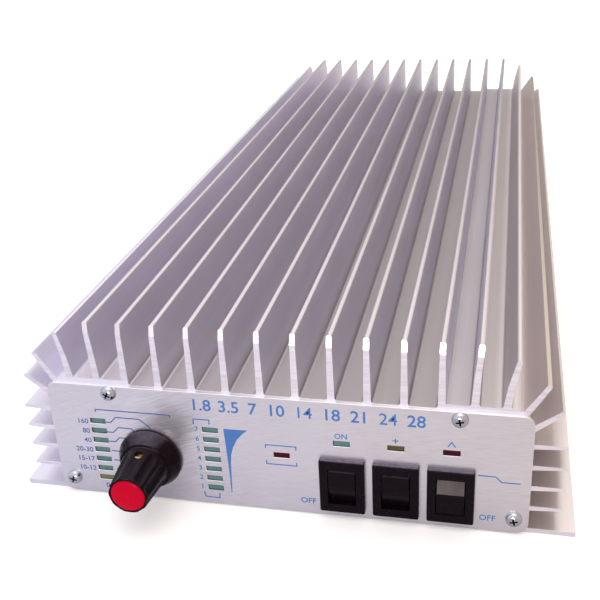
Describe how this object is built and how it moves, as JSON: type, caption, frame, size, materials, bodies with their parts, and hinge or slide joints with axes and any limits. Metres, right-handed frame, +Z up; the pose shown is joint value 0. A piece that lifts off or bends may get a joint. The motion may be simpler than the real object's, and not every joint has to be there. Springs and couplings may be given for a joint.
{
  "type": "hf linear amplifier",
  "caption": "Flat radio power amplifier: a long finned aluminium body with a brushed front panel, a red-capped band knob, rocker switches and lamp columns.",
  "frame": {"origin": "middle of the flat base, on the surface that the body stands on", "axes": "+X to the right seen from the front panel, +Y towards the back along the fins, +Z up"},
  "size_m": [0.1974, 0.477, 0.0698],
  "materials": {
    "anodised_aluminium": "satin natural anodised extrusion",
    "brushed_aluminium": "brushed front plate with blue print",
    "plate_aluminium": "mill finish plate",
    "screw_chrome": "bright plated",
    "screw_steel": "zinc plated",
    "knob_black": "glossy black phenolic",
    "cap_red": "glossy red plastic",
    "switch_black": "black nylon, satin",
    "brass": "turned brass",
    "steel": "turned steel",
    "tinned_metal": "tinned",
    "lens_green": "diffused green lamp",
    "lens_yellow": "diffused yellow lamp",
    "lens_red": "diffused red lamp",
    "board_green": "glass-epoxy board with green solder mask",
    "relay_case": "moulded relay case",
    "ferrite": "sintered ferrite",
    "iron_powder_red": "coated iron powder ring",
    "ceramic": "white ceramic",
    "capacitor_sleeve": "shrunk sleeve",
    "copper_wire": "enamelled copper",
    "fuse_orange": "clear orange plastic",
    "socket_nickel": "nickel plated brass",
    "insulator_white": "turned fluoropolymer",
    "rubber_black": "moulded rubber",
    "cable_black": "flexible jacket",
    "ribbon_grey": "flat cable"
  },
  "bodies": {
    "cabinet": {"heatsink": "anodised_aluminium", "front_panel": "brushed_aluminium", "rear_panel": "plate_aluminium", "bottom_cover": "plate_aluminium", "front_panel_screws": "screw_chrome", "rear_panel_screws": "screw_chrome", "bottom_cover_screws": "screw_steel", "selector_switch_body": "switch_black", "selector_washer": "steel", "selector_nut": "steel", "power_switch_housing": "switch_black", "high_power_switch_housing": "switch_black", "delay_switch_housing": "switch_black", "switch_terminals": "tinned_metal", "auto_led": "lens_yellow", "band_leds": "lens_green", "output_leds": "lens_green", "warning_led": "lens_red", "power_on_led": "lens_green", "high_power_led": "lens_yellow", "transmit_led": "lens_red", "display_board": "board_green", "display_ribbon": "ribbon_grey", "filter_board": "board_green", "amplifier_board": "board_green", "board_spacers": "tinned_metal", "board_screws": "screw_steel", "band_relays": "relay_case", "filter_coils": "iron_powder_red", "filter_capacitors": "ceramic", "rf_transistors": "ceramic", "transistor_screws": "screw_steel", "output_transformer_cores": "ferrite", "output_transformer_tubes": "brass", "output_transformer_plates": "copper_wire", "output_transformer_winding": "copper_wire", "input_transformer": "ferrite", "supply_capacitors": "capacitor_sleeve", "antenna_relays": "relay_case", "supply_choke": "copper_wire", "fuse_holder": "switch_black", "blade_fuses": "fuse_orange", "input_socket": "socket_nickel", "antenna_socket": "socket_nickel", "socket_insulators": "insulator_white", "socket_contacts": "brass", "socket_screws": "screw_chrome", "keying_jack": "socket_nickel", "keying_jack_nut": "steel", "supply_lead_grommet": "rubber_black", "coax_leads": "cable_black"},
    "band_selector": {"selector_shaft": "steel", "selector_knob": "knob_black", "knob_cap": "cap_red", "knob_set_screw": "brass"},
    "power_switch": {"power_rocker": "switch_black"},
    "high_power_switch": {"high_power_rocker": "switch_black"},
    "delay_switch": {"delay_rocker": "switch_black"}
  },
  "joints": [
    {"name": "band_selector_turn", "type": "hinge", "parent": "cabinet", "child": "band_selector", "pos_m": [-0.0474, -0.219, 0.0181], "axis": [0, 1, 0], "range_deg": [-150, 30]},
    {"name": "power_rock", "type": "hinge", "parent": "cabinet", "child": "power_switch", "pos_m": [0.0213, -0.2192, 0.01375], "axis": [1, 0, 0], "range_deg": [-20, 0]},
    {"name": "high_power_rock", "type": "hinge", "parent": "cabinet", "child": "high_power_switch", "pos_m": [0.0395, -0.2192, 0.01375], "axis": [1, 0, 0], "range_deg": [-20, 0]},
    {"name": "delay_rock", "type": "hinge", "parent": "cabinet", "child": "delay_switch", "pos_m": [0.0577, -0.2192, 0.01375], "axis": [1, 0, 0], "range_deg": [0, 20]}
  ]
}
